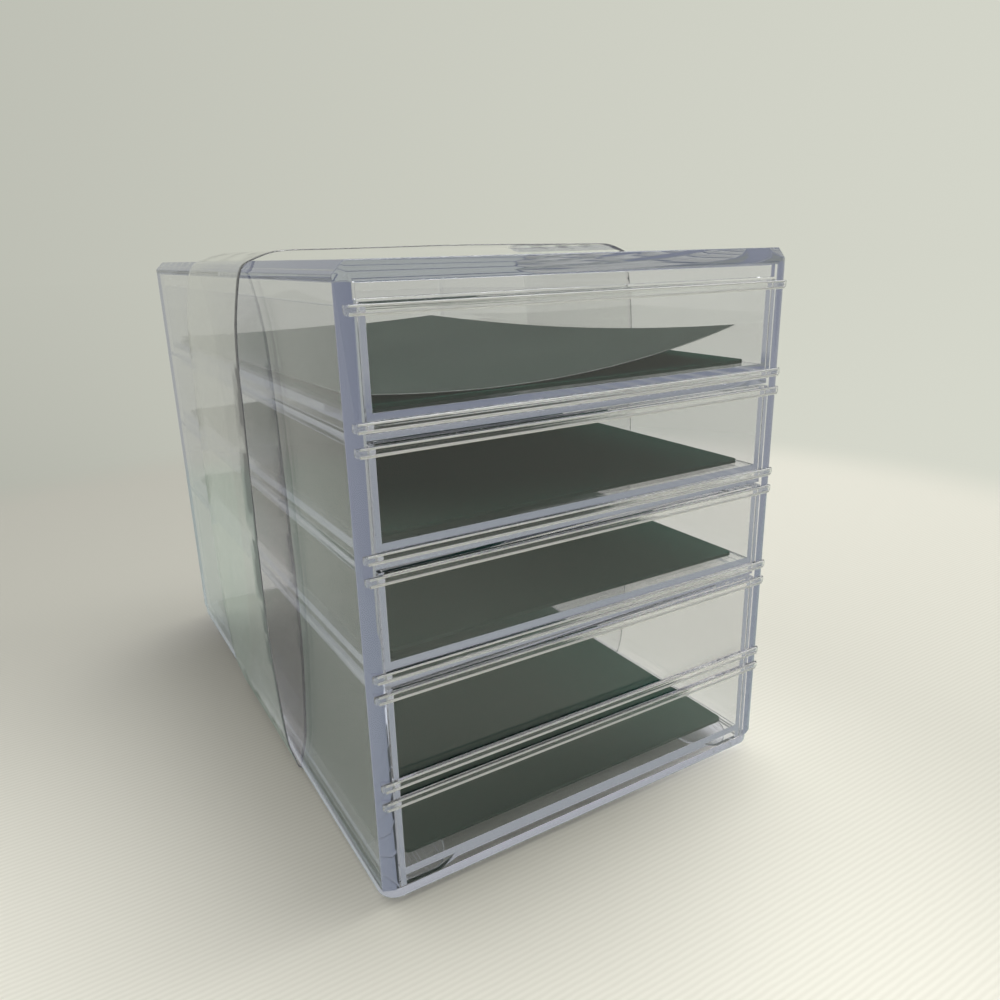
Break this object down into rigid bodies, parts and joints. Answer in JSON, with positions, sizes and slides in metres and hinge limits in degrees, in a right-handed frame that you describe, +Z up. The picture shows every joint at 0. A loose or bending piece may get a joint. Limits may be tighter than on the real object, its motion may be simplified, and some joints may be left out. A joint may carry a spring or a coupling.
{
  "type": "tabletop drawer organiser",
  "caption": "Clear plastic tabletop organiser: shallow drawers above a deep one, grip rails across the fronts, dark liners, and a loose clear film band round the casing.",
  "frame": {"origin": "on the supporting surface, midway across the width and midway from the rails' front faces to the casing's back face", "axes": "+Z up, -Y towards the front where the drawers open, +X across the front to the right"},
  "size_m": [0.1618, 0.2412, 0.1835],
  "materials": {
    "clear_casing": "clear moulded plastic, polished, with a faint violet cast in its bevels",
    "clear_base": "clear moulded plastic plate",
    "clear_foot": "clear soft plastic",
    "clear_shelf": "clear sheet plastic",
    "clear_drawer": "clear moulded plastic, polished",
    "liner_sheet": "dark green-grey sheet with a soft sheen",
    "card_face": "dark grey-green coated card with a satin face",
    "wrapping_film": "thin clear wrapping film"
  },
  "bodies": {
    "casing": {"casing_shell": "clear_casing", "base_plate": "clear_base", "foot_front_left": "clear_foot", "foot_front_right": "clear_foot", "foot_back_left": "clear_foot", "foot_back_right": "clear_foot", "shelf_lower": "clear_shelf", "shelf_middle": "clear_shelf", "shelf_upper": "clear_shelf"},
    "drawer_deep_body": {"drawer_deep": "clear_drawer", "liner_deep": "liner_sheet"},
    "drawer_third_body": {"drawer_third": "clear_drawer", "liner_third": "liner_sheet"},
    "drawer_second_body": {"drawer_second": "clear_drawer", "liner_second": "liner_sheet"},
    "drawer_top_body": {"drawer_top": "clear_drawer", "liner_top": "liner_sheet", "insert_card": "card_face"},
    "sleeve": {"film_sleeve": "wrapping_film"}
  },
  "joints": [
    {"name": "deep_slide", "type": "slide", "parent": "casing", "child": "drawer_deep_body", "axis": [0, -1, 0], "range_m": [0, 0.2]},
    {"name": "third_slide", "type": "slide", "parent": "casing", "child": "drawer_third_body", "axis": [0, -1, 0], "range_m": [0, 0.2]},
    {"name": "second_slide", "type": "slide", "parent": "casing", "child": "drawer_second_body", "axis": [0, -1, 0], "range_m": [0, 0.2]},
    {"name": "top_slide", "type": "slide", "parent": "casing", "child": "drawer_top_body", "axis": [0, -1, 0], "range_m": [0, 0.2]},
    {"name": "sleeve_slide", "type": "slide", "parent": "casing", "child": "sleeve", "axis": [0, 1, 0], "range_m": [-0.05, 0.05]}
  ]
}
